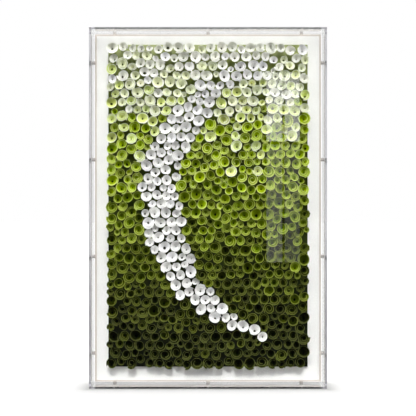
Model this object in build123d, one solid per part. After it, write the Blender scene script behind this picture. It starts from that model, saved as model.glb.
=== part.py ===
from build123d import *
import os
from math import atan2, cos, radians, sin

import numpy as np

# A wall-hung shadow box: a clear case over a white tray that carries a field of rolled paper cones.
# +X is to the right, +Z is up and the clear front faces -Y.
# The origin is in the middle of the underside, half way between the front and the back.
# All lengths are in millimetres.

# Clear case, cemented from five cut sheets
case_width = 610.0
case_height = 927.0
case_depth = 76.0
sheet = 4.8

# White tray: a board on a wooden frame, held clear of the case walls all round
tray_gap = 5.0
board_thickness = 6.0
rail_width = 30.0
rail_depth = 16.0
cleat_rail_width = 60.0

# Countersunk screws through the case walls, each with a spacer in the gap beside the tray
screw_radius = 2.0
screw_head_radius = 4.2
screw_length = 22.0
screw_tip = 3.0
screw_clearance = 0.3
socket_radius = 1.4
socket_depth = 1.5
spacer_radius = 4.5
side_screw_inset = 82.5
side_screw_count = 4
end_screw_inset = 60.0
end_screw_count = 3

# Hanging cleat: an extruded bar whose lip points down, over a bar on the wall
cleat_inset = 65.2
cleat_recess = 0.5
cleat_wall = 2.0
cleat_flange = 24.0
cleat_slot = 4.5
cleat_lip = 16.0
cleat_screw_radius = 1.75
cleat_screw_head_radius = 3.5
cleat_screw_length = 10.0
cleat_screw_tip = 2.0
cleat_screw_inset = 20.0
cleat_screw_count = 4

# Panel that carries the paper rolls, with a white margin of the tray round it
panel_side_margin = 35.7
panel_top_margin = 28.2
panel_bottom_margin = 40.2
panel_thickness = 8.0

# Paper rolls: cones of many sizes, each standing on a narrow foot
roll_radius = 12.6
roll_radius_spread = 2.2
roll_radius_low = 6.5
roll_radius_high = 15.5
roll_radius_step = 0.5
roll_clearance = 10.8
roll_short_share = 0.35
roll_foot_radius = 2.6
roll_pitch = 25.5
roll_gap = 0.3
roll_overhang = 3.0
roll_floor_share = 0.22
roll_lean_shares = (0.0, 0.28, 0.55)
roll_lean_mix_shares = (0.40, 0.38, 0.22)
rim_corners = 6
foot_corners = 3

# How the rolls are scattered: each start is shaken, then rims that overlap push each other apart
scatter_seed = 20
shake_share = 0.30
push_share = 0.24
push_rounds = 260

# Paper colours from the top of the field down, and the share of a band over which two colours mingle
green_names = ("mist", "celery", "apple", "lime", "grass", "moss", "olive", "pine")
green_end_shares = (0.08, 0.17, 0.27, 0.44, 0.60, 0.73, 0.87, 1.0)
mingle_share = 0.055

# White rolls fill a crescent between two circles, its horns to the right. Shares of the panel's height.
crescent_outer_radius_share = 0.43
crescent_inner_radius_share = 0.45
crescent_outer_offset_share = 0.225
crescent_inner_offset_share = 0.365
crescent_rise_share = 0.02

# Worked-out planes and sizes
front = -case_depth / 2
back = case_depth / 2
pane_back = front + sheet
wall_depth = back - pane_back
inner_width = case_width - 2 * sheet
inner_height = case_height - 2 * sheet
tray_width = inner_width - 2 * tray_gap
tray_height = inner_height - 2 * tray_gap
tray_bottom = sheet + tray_gap
tray_top = tray_bottom + tray_height
rail_front = back - rail_depth
board_front = rail_front - board_thickness
panel_front = board_front - panel_thickness
screw_depth_line = back - rail_depth / 2
rail_span = tray_width - 2 * rail_width
middle = case_height / 2
panel_width = tray_width - 2 * panel_side_margin
panel_bottom = tray_bottom + panel_bottom_margin
panel_height = tray_top - panel_top_margin - panel_bottom
panel_middle = panel_bottom + panel_height / 2
cleat_length = rail_span - 2 * cleat_inset
roll_reach = panel_front - pane_back - roll_clearance
cleat_rail_back = back - cleat_recess - cleat_wall - cleat_slot
cleat_rail_bottom = tray_top - rail_width - cleat_rail_width


def block(low, high):
    """A box between two opposite corners."""
    size = [b - a for a, b in zip(low, high)]
    return Pos(*low) * Box(*size, align=(Align.MIN, Align.MIN, Align.MIN))


def spread(count, pitch):
    """Places of count things in a row at one pitch, about zero."""
    return [(i - (count - 1) / 2) * pitch for i in range(count)]


def span(count, length, inset):
    """Places of count things spaced evenly along a length, about its middle, the end ones inset."""
    return spread(count, (length - 2 * inset) / (count - 1))


def turned(points):
    """The solid that a closed outline of (radius, height) points makes when spun about Z."""
    outline = Polyline(*[(r, 0, z) for r, z in points], close=True)
    return revolve(make_face(outline), Axis.Z)


def screw_places():
    """Where each case screw's head lies on the outside of the case, with its axis pointing out."""
    places = {"left": [], "right": [], "top": [], "bottom": []}
    for z in span(side_screw_count, case_height, side_screw_inset):
        places["left"].append(Plane((-case_width / 2, screw_depth_line, middle + z), z_dir=(-1, 0, 0)))
        places["right"].append(Plane((case_width / 2, screw_depth_line, middle + z), z_dir=(1, 0, 0)))
    for x in span(end_screw_count, case_width, end_screw_inset):
        places["top"].append(Plane((x, screw_depth_line, case_height), z_dir=(0, 0, 1)))
        places["bottom"].append(Plane((x, screw_depth_line, 0), z_dir=(0, 0, -1)))
    return places


def countersunk_screw(radius, head_radius, length, tip):
    """A flat-head screw below the plane that its head is flush with."""
    head = head_radius - radius
    return turned([(0, 0), (head_radius, 0), (radius, -head), (radius, tip - length), (0, -length)])


def case_screw():
    """A case screw with a hexagon socket in its head."""
    socket = extrude(RegularPolygon(socket_radius, rim_corners), -socket_depth)
    return countersunk_screw(screw_radius, screw_head_radius, screw_length, screw_tip) - socket


def wall_hole():
    """What a case screw needs cut from the wall: a countersink and a clear hole through the sheet."""
    hole_radius = screw_radius + screw_clearance
    seat = screw_head_radius - hole_radius
    return turned([(0, 0), (screw_head_radius, 0), (hole_radius, -seat), (hole_radius, -sheet), (0, -sheet)])


def spacer():
    """A sleeve between the wall and the tray, below the plane of the wall's outside."""
    bore = screw_radius + screw_clearance
    far = sheet + tray_gap
    return turned([(bore, -sheet), (spacer_radius, -sheet), (spacer_radius, -far), (bore, -far)])


def case_sheets(places):
    """The front pane, and four walls behind it with holes for the screws."""
    x = case_width / 2
    walls = {
        "left_wall": ((-x, pane_back, sheet), (sheet - x, back, case_height - sheet)),
        "right_wall": ((x - sheet, pane_back, sheet), (x, back, case_height - sheet)),
        "top_wall": ((-x, pane_back, case_height - sheet), (x, back, case_height)),
        "bottom_wall": ((-x, pane_back, 0), (x, back, sheet)),
    }
    made = {"front_pane": block((-x, front, 0), (x, pane_back, case_height))}
    for name, corners in walls.items():
        holes = [plane.location * wall_hole() for plane in places[name.removesuffix("_wall")]]
        made[name] = block(*corners) - holes
    return made


def tray_pieces(places):
    """The white board and the rails of the frame behind it, with the screws' pilot holes."""
    x = tray_width / 2
    inside = x - rail_width
    rails = {
        "left_rail": ((-x, rail_front, tray_bottom), (-inside, back, tray_top)),
        "right_rail": ((inside, rail_front, tray_bottom), (x, back, tray_top)),
        "top_rail": ((-inside, rail_front, tray_top - rail_width), (inside, back, tray_top)),
        "bottom_rail": ((-inside, rail_front, tray_bottom), (inside, back, tray_bottom + rail_width)),
    }
    pilot = countersunk_screw(screw_radius, screw_head_radius, screw_length, screw_tip)
    made = {"backing_board": block((-x, board_front, tray_bottom), (x, rail_front, tray_top))}
    for name, corners in rails.items():
        holes = [plane.location * pilot for plane in places[name.removesuffix("_rail")]]
        made[name] = block(*corners) - holes
    half = rail_width / 2
    made["middle_rail"] = block((-inside, rail_front, middle - half), (inside, back, middle + half))
    return made


def cleat_pieces():
    """The rail that carries the cleat, the cleat itself and its screws."""
    x = rail_span / 2
    rail_low = (-x, rail_front, cleat_rail_bottom)
    rail = block(rail_low, (x, cleat_rail_back, cleat_rail_bottom + cleat_rail_width))
    foot = cleat_rail_bottom + (cleat_rail_width - cleat_flange) / 2
    lip_front = cleat_rail_back + cleat_slot
    lip_back = lip_front + cleat_wall
    step = foot + cleat_wall
    profile = [
        (cleat_rail_back, foot),
        (lip_front, foot),
        (lip_front, step - cleat_lip),
        (lip_back, step - cleat_lip),
        (lip_back, step),
        (cleat_rail_back + cleat_wall, step),
        (cleat_rail_back + cleat_wall, foot + cleat_flange),
        (cleat_rail_back, foot + cleat_flange),
    ]
    outline = Polyline(*[(-cleat_length / 2, y, z) for y, z in profile], close=True)
    bar = extrude(make_face(outline), cleat_length, dir=(1, 0, 0))
    head_plane = cleat_rail_back + cleat_wall
    head_height = foot + (cleat_wall + cleat_flange) / 2
    sizes = (cleat_screw_radius, cleat_screw_head_radius, cleat_screw_length, cleat_screw_tip)
    screws = []
    for x in span(cleat_screw_count, cleat_length, cleat_screw_inset):
        head = Plane((x, head_plane, head_height), z_dir=(0, 1, 0))
        screws.append(head.location * countersunk_screw(*sizes))
    group = Compound(children=screws)
    return {"cleat_rail": rail - screws, "hanging_cleat": bar - screws, "cleat_screws": group}


def art_panel():
    """The board that the rolls are glued to."""
    x = panel_width / 2
    z = panel_height / 2
    return block((-x, panel_front, panel_middle - z), (x, board_front, panel_middle + z))


def in_pitches(length):
    """A length as a count of roll pitches, rounded so that a field of another size scatters alike."""
    return np.round(length / roll_pitch, 9)


def start_rows(field):
    """Staggered rows of places that fill the field, about its middle, in roll pitches."""
    row_pitch = sin(radians(60))
    columns = int(field[0])
    rows = int(field[1] / row_pitch)
    places = []
    for row, z in enumerate(spread(rows, row_pitch)):
        stagger = (row % 2 - 0.5) / 2
        places += [(x + stagger, z) for x in spread(columns, 1)]
    return np.array(places)


def distances(rims):
    """The way from each rim's middle to every other one, and how long it is."""
    apart = rims[:, None] - rims[None, :]
    distance = np.hypot(apart[..., 0], apart[..., 1])
    np.fill_diagonal(distance, np.inf)
    return apart, distance


def scattered_rims():
    """Middles of the rims on the panel, about its own middle, and their radii.

    Staggered rows are shaken, then rims that overlap push each other apart within the panel.
    """
    rng = np.random.default_rng(scatter_seed)
    field = in_pitches(np.array([panel_width, panel_height]))
    rims = start_rows(field)
    rims += rng.uniform(-shake_share, shake_share, rims.shape)
    radii = rng.normal(in_pitches(roll_radius), in_pitches(roll_radius_spread), len(rims))
    radii = np.clip(radii, in_pitches(roll_radius_low), in_pitches(roll_radius_high))
    edge = field / 2 + in_pitches(roll_overhang)
    limit = edge - radii[:, None]
    reach = radii[:, None] + radii[None, :] + in_pitches(roll_gap)
    for _ in range(push_rounds):
        apart, distance = distances(rims)
        push = np.clip(reach - distance, 0, None) / distance
        rims = np.clip(rims + push_share * (apart * push[..., None]).sum(1), -limit, limit)
    rims, radii = fitted_rims(rims, radii, edge)
    return rims * roll_pitch, radii * roll_pitch


def fitted_rims(rims, radii, edge):
    """Shrinks rims that still overlap, both by one share, then lets each grow into the room around it."""
    gap = in_pitches(roll_gap)
    step = in_pitches(roll_radius_step)
    distance = distances(rims)[1]
    room = radii[:, None] * (distance - gap) / (radii[:, None] + radii[None, :])
    radii = np.minimum(radii, room.min(1))
    for i in np.argsort(radii, kind="stable"):
        beside = (distance[i] - radii - gap).min()
        radii[i] = min(beside, (edge - abs(rims[i])).min(), in_pitches(roll_radius_high))
    radii = np.floor(radii / step) * step
    kept = radii >= in_pitches(roll_radius_low) - step / 2
    return rims[kept], radii[kept]


def roll_solid(radius, lean_share):
    """A hollow paper cone on a small three-cornered foot, leaning to +X, with a sharp six-cornered rim.

    The foot stays inside the rim's circle, seen along Z, so rolls whose rims are apart never touch.
    """
    height = roll_reach * (roll_short_share + (1 - roll_short_share) * radius / roll_radius_high)
    lean = lean_share * (radius - roll_foot_radius)
    tilt = atan2(lean, height)
    middle_of_rim = Vector(lean, 0, height)
    across = Vector(cos(tilt), 0, -sin(tilt))
    along = Vector(0, 1, 0)
    turn = 360 / rim_corners
    rim = []
    for i in range(rim_corners):
        angle = radians(i * turn)
        rim.append(middle_of_rim + across * (radius * cos(angle)) + along * (radius * sin(angle)))
    foot = []
    for j in range(foot_corners):
        angle = radians((j + 0.5) * 360 / foot_corners)
        foot.append(Vector(roll_foot_radius * cos(angle), roll_foot_radius * sin(angle), 0))
    floor = middle_of_rim * roll_floor_share
    below = [foot[int((i + 0.5) * foot_corners / rim_corners)] for i in range(rim_corners)]
    triangles = [tuple(reversed(foot))]
    for i in range(rim_corners):
        after = (i + 1) % rim_corners
        triangles.append((below[i], rim[after], rim[i]))
        triangles.append((floor, rim[i], rim[after]))
        if below[after] is not below[i]:
            triangles.append((below[i], below[after], rim[after]))
    return Solid(Shell([Face(Wire.make_polygon(corners)) for corners in triangles]))


def in_crescent(x, z):
    """True inside the outer circle and outside the inner one, about the panel's middle."""
    rise = z - crescent_rise_share * panel_height
    outer = np.hypot(x - crescent_outer_offset_share * panel_height, rise)
    inner = np.hypot(x - crescent_inner_offset_share * panel_height, rise)
    in_outer = outer < crescent_outer_radius_share * panel_height
    return in_outer and inner > crescent_inner_radius_share * panel_height


def paper_rolls():
    """All the rolls on the panel, as one group of separate solids for each colour of paper."""
    rims, radii = scattered_rims()
    rng = np.random.default_rng(scatter_seed)
    leans = rng.choice(roll_lean_shares, len(rims), p=roll_lean_mix_shares)
    spins = rng.uniform(0, 360, len(rims))
    mingles = rng.normal(0, mingle_share, len(rims))
    shapes = {}
    groups = {f"{name}_rolls": [] for name in ("white", *green_names)}
    for (x, z), radius, lean, spin, mingle in zip(rims, radii, leans, spins, mingles):
        kind = (round(radius / roll_radius_step), lean)
        if kind not in shapes:
            shapes[kind] = roll_solid(radius, lean)
        reach = lean * (radius - roll_foot_radius)
        foot_x = x - reach * cos(radians(spin))
        foot_z = z - reach * sin(radians(spin))
        seat = Plane((foot_x, panel_front, panel_middle + foot_z), x_dir=(1, 0, 0), z_dir=(0, -1, 0))
        down = 0.5 - z / panel_height + mingle
        band = min(int(np.searchsorted(green_end_shares, down)), len(green_names) - 1)
        paper = "white" if in_crescent(x, z) else green_names[band]
        groups[f"{paper}_rolls"].append(seat.location * Rot(0, 0, spin) * shapes[kind])
    return {name: Compound(children=rolls) for name, rolls in groups.items()}


def main():
    places = screw_places()
    heads = [plane for side in places.values() for plane in side]
    nodes = case_sheets(places) | tray_pieces(places) | cleat_pieces() | paper_rolls()
    nodes["art_panel"] = art_panel()
    nodes["case_screws"] = Compound(children=[plane.location * case_screw() for plane in heads])
    nodes["screw_spacers"] = Compound(children=[plane.location * spacer() for plane in heads])
    os.makedirs("parts", exist_ok=True)
    for name, shape in nodes.items():
        export_step(shape, f"parts/{name}.step")
    rolls = sum(len(shape.solids()) for name, shape in nodes.items() if name.endswith("_rolls"))
    print(len(nodes), "nodes,", rolls, "paper rolls")


main()
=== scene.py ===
# %% [markdown]
# A shadow box of rolled paper. A clear acrylic case stands over a white tray, and on the tray a dark panel
# carries hundreds of small paper cones, in greens that run from pale to dark with a white crescent in them.
# The measured solids come in first, as the frame that every new piece is fitted to.

import bmesh
import bpy
import numpy as np
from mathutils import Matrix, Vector


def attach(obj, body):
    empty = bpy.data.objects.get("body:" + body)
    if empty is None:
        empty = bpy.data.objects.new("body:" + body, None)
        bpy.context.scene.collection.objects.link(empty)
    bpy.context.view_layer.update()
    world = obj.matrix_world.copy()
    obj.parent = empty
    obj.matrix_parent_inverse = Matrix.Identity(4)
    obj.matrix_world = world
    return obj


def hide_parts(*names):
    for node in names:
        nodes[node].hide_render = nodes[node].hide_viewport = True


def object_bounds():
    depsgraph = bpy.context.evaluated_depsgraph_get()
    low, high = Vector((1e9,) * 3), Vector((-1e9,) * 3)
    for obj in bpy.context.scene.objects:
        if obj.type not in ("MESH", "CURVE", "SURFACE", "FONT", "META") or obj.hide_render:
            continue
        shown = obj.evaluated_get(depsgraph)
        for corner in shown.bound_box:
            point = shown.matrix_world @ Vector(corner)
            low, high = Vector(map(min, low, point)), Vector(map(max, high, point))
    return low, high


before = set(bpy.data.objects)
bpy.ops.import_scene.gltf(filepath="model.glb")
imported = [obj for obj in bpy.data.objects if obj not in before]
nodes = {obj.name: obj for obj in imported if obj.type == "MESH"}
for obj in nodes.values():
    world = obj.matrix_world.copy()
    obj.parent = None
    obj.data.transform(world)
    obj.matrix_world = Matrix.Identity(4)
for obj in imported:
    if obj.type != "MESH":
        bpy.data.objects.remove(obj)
cad_low, cad_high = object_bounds()
size = cad_high - cad_low
MM = 0.001
print("case", [round(s / MM) for s in size], "mm,", len(nodes), "nodes")

# %% [markdown]
# Colours are written as sRGB hex, as a colour picker shows them, but shaders work on linear light.
# One function turns the one into the other. A second small function adds any node to a material, sets it up
# and links it, so that each finish below reads as a short list. A Mix node has sockets for numbers, vectors
# and colours, and the numbers of those for colours get names here.

# %% Colours and nodes
MIX_SHARE, MIX_FIRST, MIX_SECOND, MIX_RESULT = 0, 6, 7, 2


def linear(hex_colour):
    """sRGB hex to linear RGBA: each channel over 255, then the sRGB curve undone."""
    channels = np.array([int(hex_colour[i:i + 2], 16) for i in (1, 3, 5)]) / 255
    low = channels / 12.92
    high = ((channels + 0.055) / 1.055) ** 2.4
    return (*np.where(channels <= 0.04045, low, high), 1.0)


def node(tree, kind, links=(), values=(), stops=(), **settings):
    """Adds a node, sets its properties and input values, and links (output, input) pairs into it.

    The stops of a colour ramp are pairs of a position and a hex colour.
    """
    made = tree.nodes.new(kind)
    for name, value in settings.items():
        setattr(made, name, value)
    for name, value in dict(values).items():
        made.inputs[name].default_value = value
    for output, name in links:
        tree.links.new(output, made.inputs[name])
    while stops and len(made.color_ramp.elements) < len(stops):
        made.color_ramp.elements.new(0.5)
    for number, (position, colour) in enumerate(stops):
        made.color_ramp.elements[number].position = position
        made.color_ramp.elements[number].color = linear(colour)
    return made


def new_material(name):
    """An empty material, with its node tree, its Principled shader and its output."""
    material = bpy.data.materials.new(name)
    material.use_nodes = True
    tree = material.node_tree
    return material, tree, tree.nodes["Principled BSDF"], tree.nodes["Material Output"]


def dress(name, material):
    """Gives a measured solid its finish."""
    nodes[name].data.materials.clear()
    nodes[name].data.materials.append(material)


print("sRGB #808080 is", round(linear("#808080")[0], 3), "in linear light")

# %% [markdown]
# Painted board. The face of the tray is fibreboard, sprayed white. Paint of this kind is almost even,
# so a single colour would do from afar, but close up the eye finds a slight mottle and a little sheen.
# A broad noise moves the colour by a few per cent, and a fine one gives the paint its faint orange peel.
# A narrow beige strip along the board's edge is painted shade, the shade of the gap between tray and case.
# It is found from the distance to that edge.

# %% Painted board
EDGE_SHADE_WIDTH, STRIP_BLUR = 4.5 * MM, 0.5 * MM
EDGE_SHADE_COLOUR = "#CFC6BC"
PAINT = "#EDEDEA"
PAINT_STOPS = [(0.35, PAINT), (0.65, "#F3F3F0")]
MOTTLE = 60.0 * MM
PEEL, PEEL_DEPTH = 2.0 * MM, 0.2 * MM


def edge_distance(tree, low, high):
    """Distance in X and Z to the nearest edge of a board: half its size less the way from its middle.

    The smaller of the two counts.
    """
    place = node(tree, "ShaderNodeTexCoord").outputs["Object"]
    middle, half = (low + high) / 2, (high - low) / 2
    centred = node(tree, "ShaderNodeVectorMath", [(place, 0)], {1: middle}, operation="SUBTRACT").outputs[0]
    sized = node(tree, "ShaderNodeVectorMath", [(centred, 0)], operation="ABSOLUTE").outputs[0]
    room = node(tree, "ShaderNodeVectorMath", [(sized, 1)], {0: half}, operation="SUBTRACT").outputs[0]
    parts = node(tree, "ShaderNodeSeparateXYZ", [(room, 0)]).outputs
    return node(tree, "ShaderNodeMath", [(parts["X"], 0), (parts["Z"], 1)], operation="MINIMUM").outputs[0]


def painted_board(low, high):
    """White paint with a broad mottle between two close colours, a fine bump and painted shade at the edge."""
    material, tree, shader, _ = new_material("white sprayed fibreboard")
    place = node(tree, "ShaderNodeTexCoord").outputs["Object"]
    mottle = node(tree, "ShaderNodeTexNoise", [(place, "Vector")], {"Scale": 1 / MOTTLE, "Detail": 3.0})
    white = node(tree, "ShaderNodeValToRGB", [(mottle.outputs["Fac"], "Fac")], stops=PAINT_STOPS)
    # Share of white paint: none within the edge strip, where the beige painted shade of the gap lies.
    limits = {"From Min": EDGE_SHADE_WIDTH - STRIP_BLUR, "From Max": EDGE_SHADE_WIDTH + STRIP_BLUR}
    painted = node(tree, "ShaderNodeMapRange", [(edge_distance(tree, low, high), "Value")], limits)
    links = [(painted.outputs[0], MIX_SHARE), (white.outputs["Color"], MIX_SECOND)]
    face = node(tree, "ShaderNodeMix", links, {MIX_FIRST: linear(EDGE_SHADE_COLOUR)}, data_type="RGBA")
    tree.links.new(face.outputs[MIX_RESULT], shader.inputs["Base Color"])
    peel = node(tree, "ShaderNodeTexNoise", [(place, "Vector")], {"Scale": 1 / PEEL, "Detail": 2.0})
    depth = {"Strength": 0.12, "Distance": PEEL_DEPTH}
    bump = node(tree, "ShaderNodeBump", [(peel.outputs["Fac"], "Height")], depth)
    tree.links.new(bump.outputs["Normal"], shader.inputs["Normal"])
    shader.inputs["Roughness"].default_value = 0.55
    return material


board_box = np.array(nodes["backing_board"].bound_box)
tray_low, tray_high = Vector(board_box.min(0)), Vector(board_box.max(0))
dress("backing_board", painted_board(tray_low, tray_high))
print("board", [round(s / MM) for s in tray_high - tray_low], "mm, painted")

# %% [markdown]
# Bare softwood. The rails behind the board are planed and left bare, but the outer sides of the tray have the
# white paint of its face. Wood grain is noise drawn out along the rail: short across it, long with it.
# The upright rails run along Z and the others along X, so there are two stretches of one finish.

# %% Bare softwood
PAINT_DEPTH = 0.3 * MM
RINGS, RING_DEPTH = 5.0 * MM, 0.3 * MM
WOOD_STOPS = [(0.38, "#BFA680"), (0.6, "#DCCBAC")]
DRAWN_OUT = 0.04


def planed_softwood(name, stretch, low, high):
    """Pale wood whose rings are noise on Object coordinates, squeezed along the rail by the stretch given.

    What lies within the depth of the paint of the tray's outer sides is white.
    """
    material, tree, shader, _ = new_material(name)
    place = node(tree, "ShaderNodeTexCoord").outputs["Object"]
    along = node(tree, "ShaderNodeMapping", [(place, "Vector")], {"Scale": stretch}).outputs["Vector"]
    rings = node(tree, "ShaderNodeTexNoise", [(along, "Vector")], {"Scale": 1 / RINGS, "Detail": 4.0})
    wood = node(tree, "ShaderNodeValToRGB", [(rings.outputs["Fac"], "Fac")], stops=WOOD_STOPS)
    inside = edge_distance(tree, low, high)
    bare = node(tree, "ShaderNodeMath", [(inside, 0)], {1: PAINT_DEPTH}, operation="GREATER_THAN")
    links = [(bare.outputs[0], MIX_SHARE), (wood.outputs["Color"], MIX_SECOND)]
    face = node(tree, "ShaderNodeMix", links, {MIX_FIRST: linear(PAINT)}, data_type="RGBA")
    tree.links.new(face.outputs[MIX_RESULT], shader.inputs["Base Color"])
    depth = {"Strength": 0.2, "Distance": RING_DEPTH}
    bump = node(tree, "ShaderNodeBump", [(rings.outputs["Fac"], "Height")], depth)
    tree.links.new(bump.outputs["Normal"], shader.inputs["Normal"])
    shader.inputs["Roughness"].default_value = 0.65
    return material


upright_wood = planed_softwood("planed softwood upright", (1.0, 1.0, DRAWN_OUT), tray_low, tray_high)
level_wood = planed_softwood("planed softwood level", (DRAWN_OUT, 1.0, 1.0), tray_low, tray_high)
for rail in ("left_rail", "right_rail"):
    dress(rail, upright_wood)
for rail in ("top_rail", "middle_rail", "bottom_rail", "cleat_rail"):
    dress(rail, level_wood)
print("rails dressed in", upright_wood.name, "and", level_wood.name)

# %% [markdown]
# The panel under the paper is coloured in deep shades of the rolls that it carries, darker towards the bottom.
# This is partly its own dark green and partly painted shade, so that the gaps between the rolls look like depth
# and not like bare board. Its height decides the colour, and a streaky noise shifts that height a little, as a
# brush does.

# %% Brushed panel
PANEL_SHADE_STOPS = [(0.0, "#12150A"), (0.2, "#1A1F0A"), (0.33, "#282F0C"), (0.52, "#384210"),
               (0.735, "#434F13"), (0.83, "#616D2A"), (0.93, "#7E8A48"), (1.0, "#A8B17A")]
STREAKS = 25.0 * MM
STREAK_SHIFT = 0.08


def shaded_panel(low, high):
    """Paint blended up the panel: height over its range, shifted by streaks, looked up in a ramp of greens, part
    painted shade.
    """
    material, tree, shader, _ = new_material("green board with painted gap shade")
    place = node(tree, "ShaderNodeTexCoord").outputs["Object"]
    height = node(tree, "ShaderNodeSeparateXYZ", [(place, 0)]).outputs["Z"]
    share = node(tree, "ShaderNodeMapRange", [(height, "Value")], {"From Min": low, "From Max": high})
    streaks = node(tree, "ShaderNodeTexNoise", [(place, "Vector")], {"Scale": 1 / STREAKS, "Detail": 3.0})
    limits = {"To Min": -STREAK_SHIFT, "To Max": STREAK_SHIFT}
    shift = node(tree, "ShaderNodeMapRange", [(streaks.outputs["Fac"], "Value")], limits)
    total = node(tree, "ShaderNodeMath", [(share.outputs[0], 0), (shift.outputs[0], 1)], operation="ADD")
    green = node(tree, "ShaderNodeValToRGB", [(total.outputs[0], "Fac")], stops=PANEL_SHADE_STOPS)
    tree.links.new(green.outputs["Color"], shader.inputs["Base Color"])
    shader.inputs["Roughness"].default_value = 0.8
    shader.inputs["Specular IOR Level"].default_value = 0.1
    return material


panel_heights = [corner[2] for corner in nodes["art_panel"].bound_box]
dress("art_panel", shaded_panel(min(panel_heights), max(panel_heights)))
print("panel from", round(min(panel_heights) / MM), "to", round(max(panel_heights) / MM), "mm")

# %% [markdown]
# Small hardware. The screws are plain steel, turned and slightly worn. The spacers beside them are moulded in
# pale grey nylon, and the cleat behind the tray is an aluminium extrusion, which shows fine lines along its
# length. The grit of the mould and the lines of the die are finer in reality. They are drawn coarser, so that
# they show from close by.

# %% Steel, moulded nylon and extruded aluminium
WEAR = 3.0 * MM
GRIT, GRIT_DEPTH = 0.6 * MM, 0.1 * MM
DIE_LINES = 0.8 * MM
DIE_STRETCH = (0.02, 1.0, 1.0)


def turned_steel():
    """Bright steel with a cloudy wear that moves its roughness."""
    material, tree, shader, _ = new_material("turned steel")
    place = node(tree, "ShaderNodeTexCoord").outputs["Object"]
    wear = node(tree, "ShaderNodeTexNoise", [(place, "Vector")], {"Scale": 1 / WEAR, "Detail": 3.0})
    limits = {"To Min": 0.45, "To Max": 0.65}
    spread = node(tree, "ShaderNodeMapRange", [(wear.outputs["Fac"], "Value")], limits)
    tree.links.new(spread.outputs["Result"], shader.inputs["Roughness"])
    shader.inputs["Base Color"].default_value = linear("#D6D6D8")
    shader.inputs["Metallic"].default_value = 1.0
    return material


def moulded_nylon():
    """Pale grey nylon with the grit of its mould as a bump."""
    material, tree, shader, _ = new_material("moulded nylon")
    place = node(tree, "ShaderNodeTexCoord").outputs["Object"]
    grit = node(tree, "ShaderNodeTexNoise", [(place, "Vector")], {"Scale": 1 / GRIT, "Detail": 3.0})
    depth = {"Strength": 0.2, "Distance": GRIT_DEPTH}
    bump = node(tree, "ShaderNodeBump", [(grit.outputs["Fac"], "Height")], depth)
    tree.links.new(bump.outputs["Normal"], shader.inputs["Normal"])
    shader.inputs["Base Color"].default_value = linear("#B8B2AC")
    shader.inputs["Roughness"].default_value = 0.5
    return material


def extruded_aluminium():
    """Mill-finish aluminium: die lines run along X, so the noise is stretched that way."""
    material, tree, shader, _ = new_material("extruded aluminium")
    place = node(tree, "ShaderNodeTexCoord").outputs["Object"]
    along = node(tree, "ShaderNodeMapping", [(place, "Vector")], {"Scale": DIE_STRETCH}).outputs["Vector"]
    lines = node(tree, "ShaderNodeTexNoise", [(along, "Vector")], {"Scale": 1 / DIE_LINES})
    limits = {"To Min": 0.3, "To Max": 0.5}
    spread = node(tree, "ShaderNodeMapRange", [(lines.outputs["Fac"], "Value")], limits)
    tree.links.new(spread.outputs["Result"], shader.inputs["Roughness"])
    shader.inputs["Base Color"].default_value = linear("#C8CACC")
    shader.inputs["Metallic"].default_value = 1.0
    return material


steel = turned_steel()
dress("case_screws", steel)
dress("cleat_screws", steel)
dress("screw_spacers", moulded_nylon())
dress("hanging_cleat", extruded_aluminium())
print("screws, spacers and cleat dressed")

# %% [markdown]
# Where the rolls stand. Each measured roll is a plain cone with a three-cornered foot, a six-cornered rim and a
# point inside, which makes sixteen triangles. Their corners are enough to find the foot, the middle of the rim,
# its radius and the way that the cone leans, so the new paper can stand exactly where the measured cone does.

# %% Read the measured cones
CORNERS = 16 * 3
FOOT_BAND = 0.1 * MM


def read_cones(name):
    """Foot, rim middle, rim radius and rim start of every cone in a node.

    In each cone the corners with the greatest Y are the foot, and those in the front half are the rim.
    """
    mesh = nodes[name].data
    places = np.empty(len(mesh.vertices) * 3)
    mesh.vertices.foreach_get("co", places)
    picks = np.empty(len(mesh.loops), int)
    mesh.loops.foreach_get("vertex_index", picks)
    corners = places.reshape(-1, 3)[picks].reshape(-1, CORNERS, 3)
    depth = corners[..., 1]
    in_foot = depth > depth.max() - FOOT_BAND
    in_rim = depth < (depth.min(1) + depth.max(1))[:, None] / 2
    foot = (corners * in_foot[..., None]).sum(1) / in_foot.sum(1)[:, None]
    rim = (corners * in_rim[..., None]).sum(1) / in_rim.sum(1)[:, None]
    start = corners[np.arange(len(corners)), in_rim.argmax(1)] - rim
    return foot, rim, np.linalg.norm(start, axis=1), start


paper_nodes = sorted(name for name in nodes if name.endswith("_rolls"))
cones = {name: read_cones(name) for name in paper_nodes}
for name, (_, rim, radius, _) in cones.items():
    least, most = np.round(radius.min() / MM, 1), np.round(radius.max() / MM, 1)
    print(name, len(rim), "cones, radius", least, "to", most, "mm")

# %% [markdown]
# The measured rims are six-cornered and leave room between them. Real rolls are pushed together until their rims
# all but touch. So each rim may swell until it nearly meets its nearest neighbour, in small steps, each worked
# out for all pairs of rolls at once.

# %% Let the rims meet
FILLED = 0.98
SWELL_LIMITS = (1.0, 1.35)
SWELL_STEPS = 40
SWELL_SHARE = 0.3


def met_radii(middles, radii):
    """Rim radii after growth: in each step a rim takes a share of the room to its nearest neighbour.

    The room is the filled part of the way between two middles, less both radii.
    """
    gaps = np.linalg.norm(middles[:, None] - middles[None], axis=-1) * FILLED
    np.fill_diagonal(gaps, np.inf)
    grown = radii.copy()
    for _ in range(SWELL_STEPS):
        room = (gaps - grown[:, None] - grown[None]).min(1)
        grown = np.clip(grown + SWELL_SHARE * room, *np.multiply.outer(SWELL_LIMITS, radii))
    return grown


all_rims = np.concatenate([cones[name][1] for name in paper_nodes])[:, [0, 2]]
all_radii = np.concatenate([cones[name][2] for name in paper_nodes])
met = met_radii(all_rims, all_radii)
ends = np.cumsum([len(cones[name][1]) for name in paper_nodes])[:-1]
swollen = dict(zip(paper_nodes, np.split(met, ends)))
print("mean rim radius", np.round(met.mean() / MM, 2), "mm, from", np.round(all_radii.mean() / MM, 2))

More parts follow.
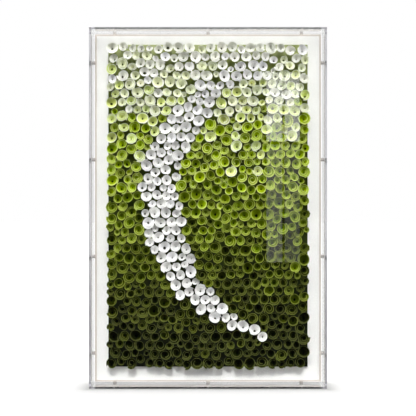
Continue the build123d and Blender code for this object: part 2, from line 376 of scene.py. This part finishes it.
# %% [markdown]
# A paper roll is a strip wound one to three times, tight at the foot and wide at the rim, like a trumpet.
# It is one surface of two parameters: how far along the strip, and how far up it. A spiral that starts at
# the rim's edge and draws inwards gives the strip its turns, and a short table gives its profile. Hands wind
# each roll differently, so there are three sorts: open funnels, rolls with one inner ring, and tight ones like
# rosebuds. All the rolls of a colour are worked out at once, as one array, and a Solidify modifier gives the
# paper its thickness.

# %% The roll surface
STEPS = 22
LEVELS = np.array([0.0, 0.74, 0.86, 1.0])
WIDTHS = np.array([0.0, 0.15, 0.84, 1.0])
SAGS = np.array([0.0, 1.0, -0.5, 0.0])
FOOT_RADIUS, FOOT_DRAW = 2.0 * MM, 0.6
SORT_SHARES = [0.22, 0.43, 0.35]
SORT_TURNS = np.array([[1.1, 1.4], [1.5, 1.9], [2.1, 2.6]])
SORT_CURLS = np.array([[0.1, 0.3], [0.46, 0.6], [0.64, 0.76]])
CURL_POWER = 1.2
BENDS, DROPS, SAG_SHARES = (0.75, 1.35), (-0.06, 0.12), (0.08, 0.28)
OVAL, TIP = 0.05, 0.06
rng = np.random.default_rng(7)


def unit(vectors):
    """Each vector divided by its length."""
    return vectors / np.linalg.norm(vectors, axis=-1, keepdims=True)


def roll_surface(foot, rim, radius, start):
    """Points (roll, level, step, xyz) of wound paper strips.

    The angle runs evenly along the strip. The rim's radius shrinks with a power of the way along it, is set so
    that it has the radius given half a turn in, and swells and narrows twice a turn, since no roll is quite
    round. Each level has a share of the way from the foot's radius to the rim's: a narrow stem, a bowl and a
    steeper lip, and a power of that share makes the bowl wider or narrower. The height goes from foot to rim.
    It is a little less for the inner end of the strip, and a slow wave tips the rim. Last, the throat sags
    below the line from foot to rim, since the rolls are set to look up a little.
    """
    one = (len(rim), 1, 1)
    sort = rng.choice(3, len(rim), p=SORT_SHARES)
    turns = rng.uniform(*SORT_TURNS[sort].T)[:, None, None]
    curl = rng.uniform(*SORT_CURLS[sort].T)[:, None, None]
    bend = rng.uniform(*BENDS, one)
    drop = rng.uniform(*DROPS, one)
    hand = rng.choice([-1.0, 1.0], one)
    wave = rng.uniform(0, 2 * np.pi, one)
    along = np.linspace(0, 1, STEPS + 1)[None, None, :]
    level = LEVELS[None, :, None]
    angle = hand * along * turns * 2 * np.pi
    oval = 1 + OVAL * np.sin(2 * angle + 2 * wave)
    half_turn = 1 - curl * (0.5 / turns) ** CURL_POWER
    rim_radius = radius[:, None, None] * (1 - curl * along ** CURL_POWER) / half_turn * oval
    foot_radius = FOOT_RADIUS * (1 - FOOT_DRAW * along)
    reach = foot_radius + (rim_radius - foot_radius) * WIDTHS[None, :, None] ** bend
    height = level * (1 - drop * along) + TIP * level * np.sin(angle + wave)
    axis = (rim - foot)[:, None, None]
    across = unit(start)[:, None, None]
    side = np.cross(unit(axis), across)
    out = np.cos(angle)[..., None] * across + np.sin(angle)[..., None] * side
    points = foot[:, None, None] + height[..., None] * axis + reach[..., None] * out
    points[..., 2] -= rng.uniform(*SAG_SHARES, one) * radius[:, None, None] * SAGS[None, :, None]
    return points


surfaces = {name: roll_surface(foot, rim, swollen[name], start)
            for name, (foot, rim, _, start) in cones.items()}
print("rolls", sum(len(s) for s in surfaces.values()), "with", STEPS * (len(LEVELS) - 1), "faces each")

# %% [markdown]
# Paper colours. A roll looks deepest in its narrow stem and palest at its cut rim, so a paper has three colours
# here: stem, bowl and rim. The dark stem colour is painted shade, for the throat where little light gets in, and
# it is the small dot in the middle of a roll. The pale rim draws its outline. It is partly the light cut edge of
# the paper and partly a painted highlight on the lips that catch the light. Sheets of one colour still differ a
# little, so each roll has a tint of its own. The colour is kept on the mesh as an attribute, one value for each
# corner of a face, so that the stem can end sharply at the bowl.

# %% Paper colours
# Stem, bowl and rim of each paper: the stem is painted shade, and the rim is partly a painted highlight.
PAPERS = {
    "white_rolls": ("#44463A", "#ECECE9", "#FBFBF9"),
    "mist_rolls": ("#4C5430", "#EFF1E2", "#FBFBF7"),
    "celery_rolls": ("#465020", "#E2E8BE", "#FAFBF4"),
    "apple_rolls": ("#363F10", "#CEDA82", "#F8FAEC"),
    "lime_rolls": ("#1E2404", "#839908", "#D8E380"),
    "grass_rolls": ("#161C03", "#5C6E06", "#B0BE54"),
    "moss_rolls": ("#0E1202", "#333D03", "#8A963C"),
    "olive_rolls": ("#080A02", "#202504", "#6E7634"),
    "pine_rolls": ("#060702", "#131605", "#5C6232"),
}
# Shares of the stem colour (painted shade) and of the pale rim (cut edge and painted highlight) in each row.
STEM_SHADE_BELOW, STEM_SHADE_ABOVE = np.array([1.0, 0.12, 0.0]), np.array([1.0, 0.0, 0.0])
PALE_BELOW, PALE_ABOVE = np.array([0.0, 0.0, 0.1]), np.array([0.0, 0.0, 1.0])
PALE_SHARES = (0.7, 1.0)
VALUE_SPREAD, WARM_SPREAD = 0.1, 0.04
WARM_WAY = np.array([0.6, 0.0, -1.0])
PALEST = 0.9


def paper_tints(name, count):
    """Linear RGBA for every face corner (roll, row, step, corner): painted shade in the stem, pale at the rim.

    A quad has two corners at its lower edge and two at its upper one, so each row runs between two shares of
    painted stem shade and of pale edge, which is partly a painted highlight, and may differ sharply from the row
    below it. What is left is the roll's own tint.
    """
    stem, bowl, edge = (np.array(linear(colour)[:3]) for colour in PAPERS[name])
    one = (count, 1, 1, 1, 1)
    value = rng.normal(1.0, VALUE_SPREAD, one)
    warm = rng.normal(0.0, WARM_SPREAD, one) * WARM_WAY
    colourful = 1 - bowl.min() / bowl.max()
    tint = np.clip(bowl * value * (1 + warm * colourful), 0, PALEST)
    shade_share = np.stack([STEM_SHADE_BELOW, STEM_SHADE_BELOW, STEM_SHADE_ABOVE, STEM_SHADE_ABOVE], -1)[None, :, None, :, None]
    pale = np.stack([PALE_BELOW, PALE_BELOW, PALE_ABOVE, PALE_ABOVE], -1)[None, :, None, :, None]
    pale = rng.uniform(*PALE_SHARES, one) * pale
    # Stem colour as painted shade, the roll's tint, and the pale edge, partly a painted highlight.
    colour = stem * shade_share + tint * (1 - shade_share - pale) + edge * pale
    colour = np.broadcast_to(colour, (count, len(LEVELS) - 1, STEPS, 4, 3))
    return np.concatenate([colour, np.ones(colour.shape[:4] + (1,))], -1)


def strip_quads(count, rows, columns):
    """Corner numbers of the quads between neighbouring rows and columns of each of count grids."""
    grid = np.arange(count * rows * columns).reshape(count, rows, columns)
    quads = np.stack([grid[:, :-1, :-1], grid[:, :-1, 1:], grid[:, 1:, 1:], grid[:, 1:, :-1]], -1)
    return quads.reshape(-1, 4)


def paper_mesh(name, points):
    """A mesh of all the strips of one colour, with its tints as an attribute of the face corners."""
    count, rows, columns, _ = points.shape
    mesh = bpy.data.meshes.new(name + "_paper")
    mesh.from_pydata(points.reshape(-1, 3), [], strip_quads(count, rows, columns))
    is_smooth = np.repeat(np.arange(rows - 1) > 0, columns - 1)
    mesh.polygons.foreach_set("use_smooth", np.tile(is_smooth, count))
    tints = mesh.color_attributes.new("tint", "FLOAT_COLOR", "CORNER")
    tints.data.foreach_set("color", paper_tints(name, count).ravel())
    mesh.update()
    return mesh


meshes = {name: paper_mesh(name, points) for name, points in surfaces.items()}
print("papers", len(meshes), "with", sum(len(mesh.polygons) for mesh in meshes.values()), "faces")

# %% [markdown]
# Uncoated paper is matt and its fibres mottle it. The material reads the tint from the mesh and only adds that
# mottle. Real fibres are too fine to show from here, so they are drawn as lumps of a few millimetres.

# %% Paper rolls
FIBRE = 2.5 * MM
PAPER_THICKNESS = 0.4 * MM


def coloured_paper():
    """Uncoated coloured paper: the tint from the mesh times the mottle of its fibres, and hardly any sheen."""
    material, tree, shader, _ = new_material("uncoated coloured paper")
    tint = node(tree, "ShaderNodeAttribute", attribute_name="tint", attribute_type="GEOMETRY")
    place = node(tree, "ShaderNodeTexCoord").outputs["Object"]
    fibre = node(tree, "ShaderNodeTexNoise", [(place, "Vector")], {"Scale": 1 / FIBRE, "Detail": 3.0})
    limits = {"To Min": 0.9, "To Max": 1.08}
    spread = node(tree, "ShaderNodeMapRange", [(fibre.outputs["Fac"], "Value")], limits)
    links = [(tint.outputs["Color"], MIX_FIRST), (spread.outputs["Result"], MIX_SECOND)]
    mixed = node(tree, "ShaderNodeMix", links, {MIX_SHARE: 1.0}, data_type="RGBA", blend_type="MULTIPLY")
    tree.links.new(mixed.outputs[MIX_RESULT], shader.inputs["Base Color"])
    shader.inputs["Roughness"].default_value = 0.9
    shader.inputs["Specular IOR Level"].default_value = 0.0
    return material


paper = coloured_paper()
for name, mesh in meshes.items():
    mesh.materials.append(paper)
    piece = bpy.data.objects.new(name + "_paper", mesh)
    bpy.context.scene.collection.objects.link(piece)
    wall = piece.modifiers.new("paper thickness", "SOLIDIFY")
    wall.thickness = PAPER_THICKNESS
    wall.offset = 0.0
    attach(piece, "root")
    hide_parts(name)
    print(piece.name, len(mesh.polygons), "faces")

# %% [markdown]
# Acrylic is clearer than glass, bends light a little less (IOR 1.49) and is polished, so it is almost all
# transmission. Lamps have to reach the paper, so for shadow rays the shader is swapped for a transparent one.
# The back edges were sawn and left matt, which is what makes the outline of such a box look grey from the
# front. Their tones are painted light and shade: darkest at the bottom, a little paler at the top, and palest at
# the sides, the more so higher up. Near a corner each edge takes on the tone of its neighbour, so that the
# outline goes round the corner without a break.

# %% Acrylic
SAW_MARKS = 1.5 * MM
BOTTOM_EDGE_PAINTED_STOPS = [(0.965, "#656767"), (0.985, "#C0BFC4")]
TOP_EDGE_PAINTED_STOPS = [(0.965, "#7B7D7D"), (0.985, "#D0CFD4")]
SIDE_EDGE_PAINTED_STOPS = [(0.0065, "#6E6E72"), (0.0105, "#C6C5CA"), (0.2, "#C6C5CA"),
                 (0.44, "#F5F4F9"), (0.989, "#F5F4F9"), (0.9925, "#A09FA4")]


def polished_acrylic():
    """Clear cast acrylic: full transmission, and transparent to shadow rays."""
    material, tree, shader, output = new_material("polished acrylic")
    shader.inputs["Base Color"].default_value = linear("#FCFCFC")
    shader.inputs["Roughness"].default_value = 0.0
    shader.inputs["IOR"].default_value = 1.49
    shader.inputs["Transmission Weight"].default_value = 1.0
    path = node(tree, "ShaderNodeLightPath")
    clear = node(tree, "ShaderNodeBsdfTransparent")
    links = [(path.outputs["Is Shadow Ray"], 0), (shader.outputs[0], 1), (clear.outputs[0], 2)]
    mixed = node(tree, "ShaderNodeMixShader", links)
    tree.links.new(mixed.outputs[0], output.inputs["Surface"])
    return material


def sawn_acrylic(name, axis, reach, stops):
    """A sawn edge: matt, with a painted tone of light and shade looked up along it, times the fine marks of the
    saw.

    The way along it is the distance from X or Z zero, over the reach given.
    """
    material, tree, shader, _ = new_material(name)
    place = node(tree, "ShaderNodeTexCoord").outputs["Object"]
    sized = node(tree, "ShaderNodeVectorMath", [(place, 0)], operation="ABSOLUTE").outputs[0]
    along = node(tree, "ShaderNodeSeparateXYZ", [(sized, 0)]).outputs[axis]
    share = node(tree, "ShaderNodeMath", [(along, 0)], {1: reach}, operation="DIVIDE").outputs[0]
    tone = node(tree, "ShaderNodeValToRGB", [(share, "Fac")], stops=stops)
    marks = node(tree, "ShaderNodeTexNoise", [(place, "Vector")], {"Scale": 1 / SAW_MARKS, "Detail": 3.0})
    limits = {"To Min": 0.9, "To Max": 1.1}
    spread = node(tree, "ShaderNodeMapRange", [(marks.outputs["Fac"], "Value")], limits)
    links = [(tone.outputs["Color"], MIX_FIRST), (spread.outputs["Result"], MIX_SECOND)]
    mixed = node(tree, "ShaderNodeMix", links, {MIX_SHARE: 1.0}, data_type="RGBA", blend_type="MULTIPLY")
    tree.links.new(mixed.outputs[MIX_RESULT], shader.inputs["Base Color"])
    shader.inputs["Roughness"].default_value = 0.7
    return material


acrylics = [
    polished_acrylic(),
    sawn_acrylic("bottom acrylic edge, painted shade", "X", size.x / 2, BOTTOM_EDGE_PAINTED_STOPS),
    sawn_acrylic("top acrylic edge, painted shade", "X", size.x / 2, TOP_EDGE_PAINTED_STOPS),
    sawn_acrylic("side acrylic edge, painted light and shade", "Z", size.z, SIDE_EDGE_PAINTED_STOPS),
]
print("acrylic in", len(acrylics), "finishes")

# %% [markdown]
# The clear case. Five acrylic sheets are cemented so well that light passes the joints as if they were one
# block. Five separate glass boxes would show a mirror at every joint, so the measured sheets are copied, their
# loose triangles merged, and joined with Boolean modifiers into one shell, whose result becomes the mesh.
# Each copy first gets the finish of its own back edge, with its painted tone, and the Boolean keeps it.

# %% Join the sheets into one shell
EDGE_FINISH = {"front_pane": 0, "top_wall": 2, "bottom_wall": 1, "left_wall": 3, "right_wall": 3}
WELD = 0.001 * MM
BACK_BAND = 0.01 * MM


def merged_copy(name):
    """A copy of a measured sheet: corners merged, clear, with a matt finish on its back edge."""
    mesh = nodes[name].data.copy()
    shape = bmesh.new()
    shape.from_mesh(mesh)
    bmesh.ops.remove_doubles(shape, verts=shape.verts, dist=WELD)
    shape.to_mesh(mesh)
    shape.free()
    mesh.materials.clear()
    for finish in acrylics:
        mesh.materials.append(finish)
    centres = np.empty(len(mesh.polygons) * 3)
    mesh.polygons.foreach_get("center", centres)
    is_back = centres.reshape(-1, 3)[:, 1] > cad_high.y - BACK_BAND
    mesh.polygons.foreach_set("material_index", (is_back * EDGE_FINISH[name]).astype(np.int32))
    mesh.polygons.foreach_set("use_smooth", np.zeros(len(is_back), bool))
    copy = bpy.data.objects.new(name + "_copy", mesh)
    bpy.context.scene.collection.objects.link(copy)
    return copy


block, *others = [merged_copy(name) for name in EDGE_FINISH]
for other in others:
    joint = block.modifiers.new("cement " + other.name, "BOOLEAN")
    joint.operation = "UNION"
    joint.solver = "EXACT"
    joint.object = other
joined = block.evaluated_get(bpy.context.evaluated_depsgraph_get())
shell_mesh = bpy.data.meshes.new_from_object(joined)
shell_mesh.name = "clear_case"
for used in (block, *others):
    bpy.data.objects.remove(used)
shell = bpy.data.objects.new("clear_case", shell_mesh)
bpy.context.scene.collection.objects.link(shell)
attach(shell, "root")
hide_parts(*EDGE_FINISH)
finishes = np.empty(len(shell_mesh.polygons), np.int32)
shell_mesh.polygons.foreach_get("material_index", finishes)
print("case faces, clear, then edges at the bottom, top and sides:", np.bincount(finishes))

# %% [markdown]
# The stage is a pale floor under a white world. The floor gets light of its own for the rays that the camera,
# mirrors and clear acrylic send out, so that it looks white without lighting the case from below. This light
# falls a little with distance, so that no horizon shows, and it is held back close round the foot of the case,
# where a real floor lies in the shadow of what stands on it.

# %% Floor
FLOOR_HALF = 30.0
FLOOR_DROP = 1.0 * MM
NEAR, FAR = 0.3, 2.5
GLOW_NEAR, GLOW_FAR = 0.69, 0.64
SHADE_REACH, SHADE_DEPTH, SHADE_POWER = 0.09, 0.5, 3
WHITE = (1, 1, 1, 1)


def seen_rays(tree):
    """1 for camera, glossy and transmission rays that no matt surface sent out, 0 for rays that carry light."""
    path = node(tree, "ShaderNodeLightPath").outputs
    links = [(path["Is Glossy Ray"], 0), (path["Is Transmission Ray"], 1)]
    clear = node(tree, "ShaderNodeMath", links, operation="MAXIMUM").outputs[0]
    seen = node(tree, "ShaderNodeMath", [(path["Is Camera Ray"], 0), (clear, 1)], operation="MAXIMUM")
    links = [(seen.outputs[0], 0), (path["Diffuse Depth"], 1)]
    return node(tree, "ShaderNodeMath", links, operation="SUBTRACT", use_clamp=True).outputs[0]


def studio_floor(footprint):
    """Matt grey paint with a glow for seen rays, which changes with the distance from the middle.

    A shade is taken from the glow: the share of the shade's reach that is left, going outwards from the
    footprint, to a power, times the shade's depth.
    """
    material, tree, shader, _ = new_material("pale studio floor")
    shader.inputs["Base Color"].default_value = linear("#B4B4B2")
    shader.inputs["Roughness"].default_value = 0.9
    shader.inputs["Emission Color"].default_value = WHITE
    place = node(tree, "ShaderNodeTexCoord").outputs["Object"]
    distance = node(tree, "ShaderNodeVectorMath", [(place, 0)], operation="LENGTH").outputs["Value"]
    limits = {"From Min": NEAR, "From Max": FAR, "To Min": GLOW_NEAR, "To Max": GLOW_FAR}
    even = node(tree, "ShaderNodeMapRange", [(distance, "Value")], limits).outputs[0]
    sized = node(tree, "ShaderNodeVectorMath", [(place, 0)], operation="ABSOLUTE").outputs[0]
    beyond = node(tree, "ShaderNodeVectorMath", [(sized, 0)], {1: footprint}, operation="SUBTRACT").outputs[0]
    outside = node(tree, "ShaderNodeVectorMath", [(beyond, 0)], {1: (0, 0, 0)}, operation="MAXIMUM").outputs[0]
    gap = node(tree, "ShaderNodeVectorMath", [(outside, 0)], operation="LENGTH").outputs["Value"]
    limits = {"From Max": SHADE_REACH, "To Min": 1.0, "To Max": 0.0}
    left = node(tree, "ShaderNodeMapRange", [(gap, "Value")], limits).outputs[0]
    shade = node(tree, "ShaderNodeMath", [(left, 0)], {1: SHADE_POWER}, operation="POWER").outputs[0]
    glow = node(tree, "ShaderNodeMath", [(shade, 0), (even, 2)], {1: -SHADE_DEPTH}, operation="MULTIPLY_ADD")
    lift = node(tree, "ShaderNodeMath", [(seen_rays(tree), 0), (glow.outputs[0], 1)], operation="MULTIPLY")
    tree.links.new(lift.outputs[0], shader.inputs["Emission Strength"])
    return material


floor_mesh = bpy.data.meshes.new("floor")
square = np.array([[-1, -1, 0], [1, -1, 0], [1, 1, 0], [-1, 1, 0]]) * FLOOR_HALF - [0, 0, FLOOR_DROP]
floor_mesh.from_pydata(square, [], [(0, 1, 2, 3)])
floor_mesh.materials.append(studio_floor((size.x / 2, size.y / 2, 1.0)))
floor = bpy.data.objects.new("floor", floor_mesh)
bpy.context.scene.collection.objects.link(floor)
print("floor", 2 * FLOOR_HALF, "m wide")

# %% [markdown]
# The world is white for the same rays that the floor glows for. For those that carry light it is dim in front,
# which leaves the rolls their shadows, and brighter behind, which lights the back of the tray.

# %% World
LIGHT_FRONT, LIGHT_BEHIND = 0.36, 1.1
world = bpy.data.worlds.new("white room")
bpy.context.scene.world = world
world.use_nodes = True
tree = world.node_tree
sky = tree.nodes["Background"]
sky.inputs["Color"].default_value = WHITE
way = node(tree, "ShaderNodeTexCoord").outputs["Generated"]
rearward = node(tree, "ShaderNodeSeparateXYZ", [(way, 0)]).outputs["Y"]
limits = {"To Min": LIGHT_FRONT, "To Max": LIGHT_BEHIND}
light = node(tree, "ShaderNodeMapRange", [(rearward, "Value")], limits)
links = [(seen_rays(tree), "Value"), (light.outputs["Result"], "To Min")]
room = node(tree, "ShaderNodeMapRange", links, {"To Max": 1.0})
tree.links.new(room.outputs["Result"], sky.inputs["Strength"])
print("world lit from", LIGHT_FRONT, "in front to", LIGHT_BEHIND, "behind")

# %% [markdown]
# A flat pane mirrors whatever is behind the camera, and a white room there would lay a grey veil over the paper.
# Photographers hang a dark cloth in front for this. Here it lies on the floor, from a straight edge close before
# the case, and then rises in an arc that is open to the sides. Light Path counts how often a ray has been
# mirrored, and the cloth is clear for all that have not been, so it neither shades the case nor shows in any
# view. Four pale panels before it are the lights of a tall window, which the pane mirrors faintly, and that is
# what tells the eye that there is a pane at all.

# %% Dark cloth and window in front
CLOTH_RADIUS, CLOTH_HEIGHT = 4.0, 3.5
CLOTH_GAP = 0.06
CLOTH_SWEEP, CLOTH_STEPS = 75, 41
CLOTH_BLACK = "#101010"
WINDOW_LIGHTS = [(0.37, 0.47, 0.885, 1.32, 3.2), (0.485, 0.58, 0.885, 1.32, 3.0),
                 (0.37, 0.47, 0.12, 0.865, 0.8), (0.485, 0.58, 0.12, 0.865, 0.5)]
WINDOW_GAP = 0.15


def mirror_only(name, points, strength):
    """A stage sheet from a grid of points that only mirrored rays see, dark or with a light of its own."""
    mesh = bpy.data.meshes.new(name)
    mesh.from_pydata(points.reshape(-1, 3), [], strip_quads(1, *points.shape[:2]))
    sheet = bpy.data.objects.new(name, mesh)
    bpy.context.scene.collection.objects.link(sheet)
    material, tree, shader, output = new_material(name)
    shader.inputs["Base Color"].default_value = linear(CLOTH_BLACK)
    shader.inputs["Roughness"].default_value = 1.0
    shader.inputs["Specular IOR Level"].default_value = 0.0
    shader.inputs["Emission Color"].default_value = WHITE
    shader.inputs["Emission Strength"].default_value = strength
    mirrored = node(tree, "ShaderNodeLightPath").outputs["Glossy Depth"]
    clear = node(tree, "ShaderNodeBsdfTransparent")
    links = [(mirrored, 0), (clear.outputs[0], 1), (shader.outputs[0], 2)]
    tree.links.new(node(tree, "ShaderNodeMixShader", links).outputs[0], output.inputs["Surface"])
    mesh.materials.append(material)
    sheet.visible_shadow = False
    sheet.visible_diffuse = False
    print(name, len(mesh.polygons), "faces")


sweep = np.radians(np.linspace(-CLOTH_SWEEP, CLOTH_SWEEP, CLOTH_STEPS))
arc = -CLOTH_RADIUS * np.cos(sweep)
fronts = np.stack([np.full_like(arc, -CLOTH_GAP), arc, arc])
heights = np.array([[-FLOOR_DROP / 2], [-FLOOR_DROP / 2], [CLOTH_HEIGHT]])
cloth = np.broadcast_arrays(CLOTH_RADIUS * np.sin(sweep), fronts, heights)
mirror_only("dark_cloth", np.stack(cloth, -1), 0.0)
for number, (left, right, low, high, strength) in enumerate(WINDOW_LIGHTS):
    sides, sills = np.array([left, right]), np.array([[low], [high]])
    pane = np.broadcast_arrays(sides, WINDOW_GAP - CLOTH_RADIUS, sills)
    mirror_only("window_light_" + str(number + 1), np.stack(pane, -1), strength)

# %% [markdown]
# One Sun lamp above and in front gives the rolls their lit lower lips and the short shadows below them. A spread
# of a few degrees softens the shadows' edges, as a bright window does.

# %% Lamp
SUN_WAY = (0.0, 4.0, -2.9)
SUN_SPREAD = 3.5
SUN_STRENGTH = 1.8
bpy.context.scene.view_settings.view_transform = "Standard"
sun = bpy.data.lights.new("key", "SUN")
sun.angle = np.radians(SUN_SPREAD)
sun.energy = SUN_STRENGTH
lamp = bpy.data.objects.new("key", sun)
lamp.rotation_euler = Vector(SUN_WAY).to_track_quat("-Z", "Y").to_euler()
bpy.context.scene.collection.objects.link(lamp)
print("sun of strength", SUN_STRENGTH, "with a spread of", SUN_SPREAD, "degrees")

# %% [markdown]
# The camera looks straight at the middle of the case, from about the distance that the perspective in the
# photograph tells of. The lens follows from the width that the frame has to show at the front of the case.

# %% Camera
CAMERA_DISTANCE = 2.6
FRAME_WIDTH = 1.066
SENSOR = 36.0
middle = (cad_low + cad_high) / 2
camera_data = bpy.data.cameras.new("camera")
camera_data.sensor_width = SENSOR
camera_data.lens = SENSOR * CAMERA_DISTANCE / FRAME_WIDTH
camera = bpy.data.objects.new("camera", camera_data)
camera.location = (middle.x, cad_low.y - CAMERA_DISTANCE, middle.z)
camera.rotation_euler = (np.pi / 2, 0, 0)
bpy.context.scene.collection.objects.link(camera)
bpy.context.scene.camera = camera
print("camera at", [round(v, 3) for v in camera.location], "lens", round(camera_data.lens, 1))
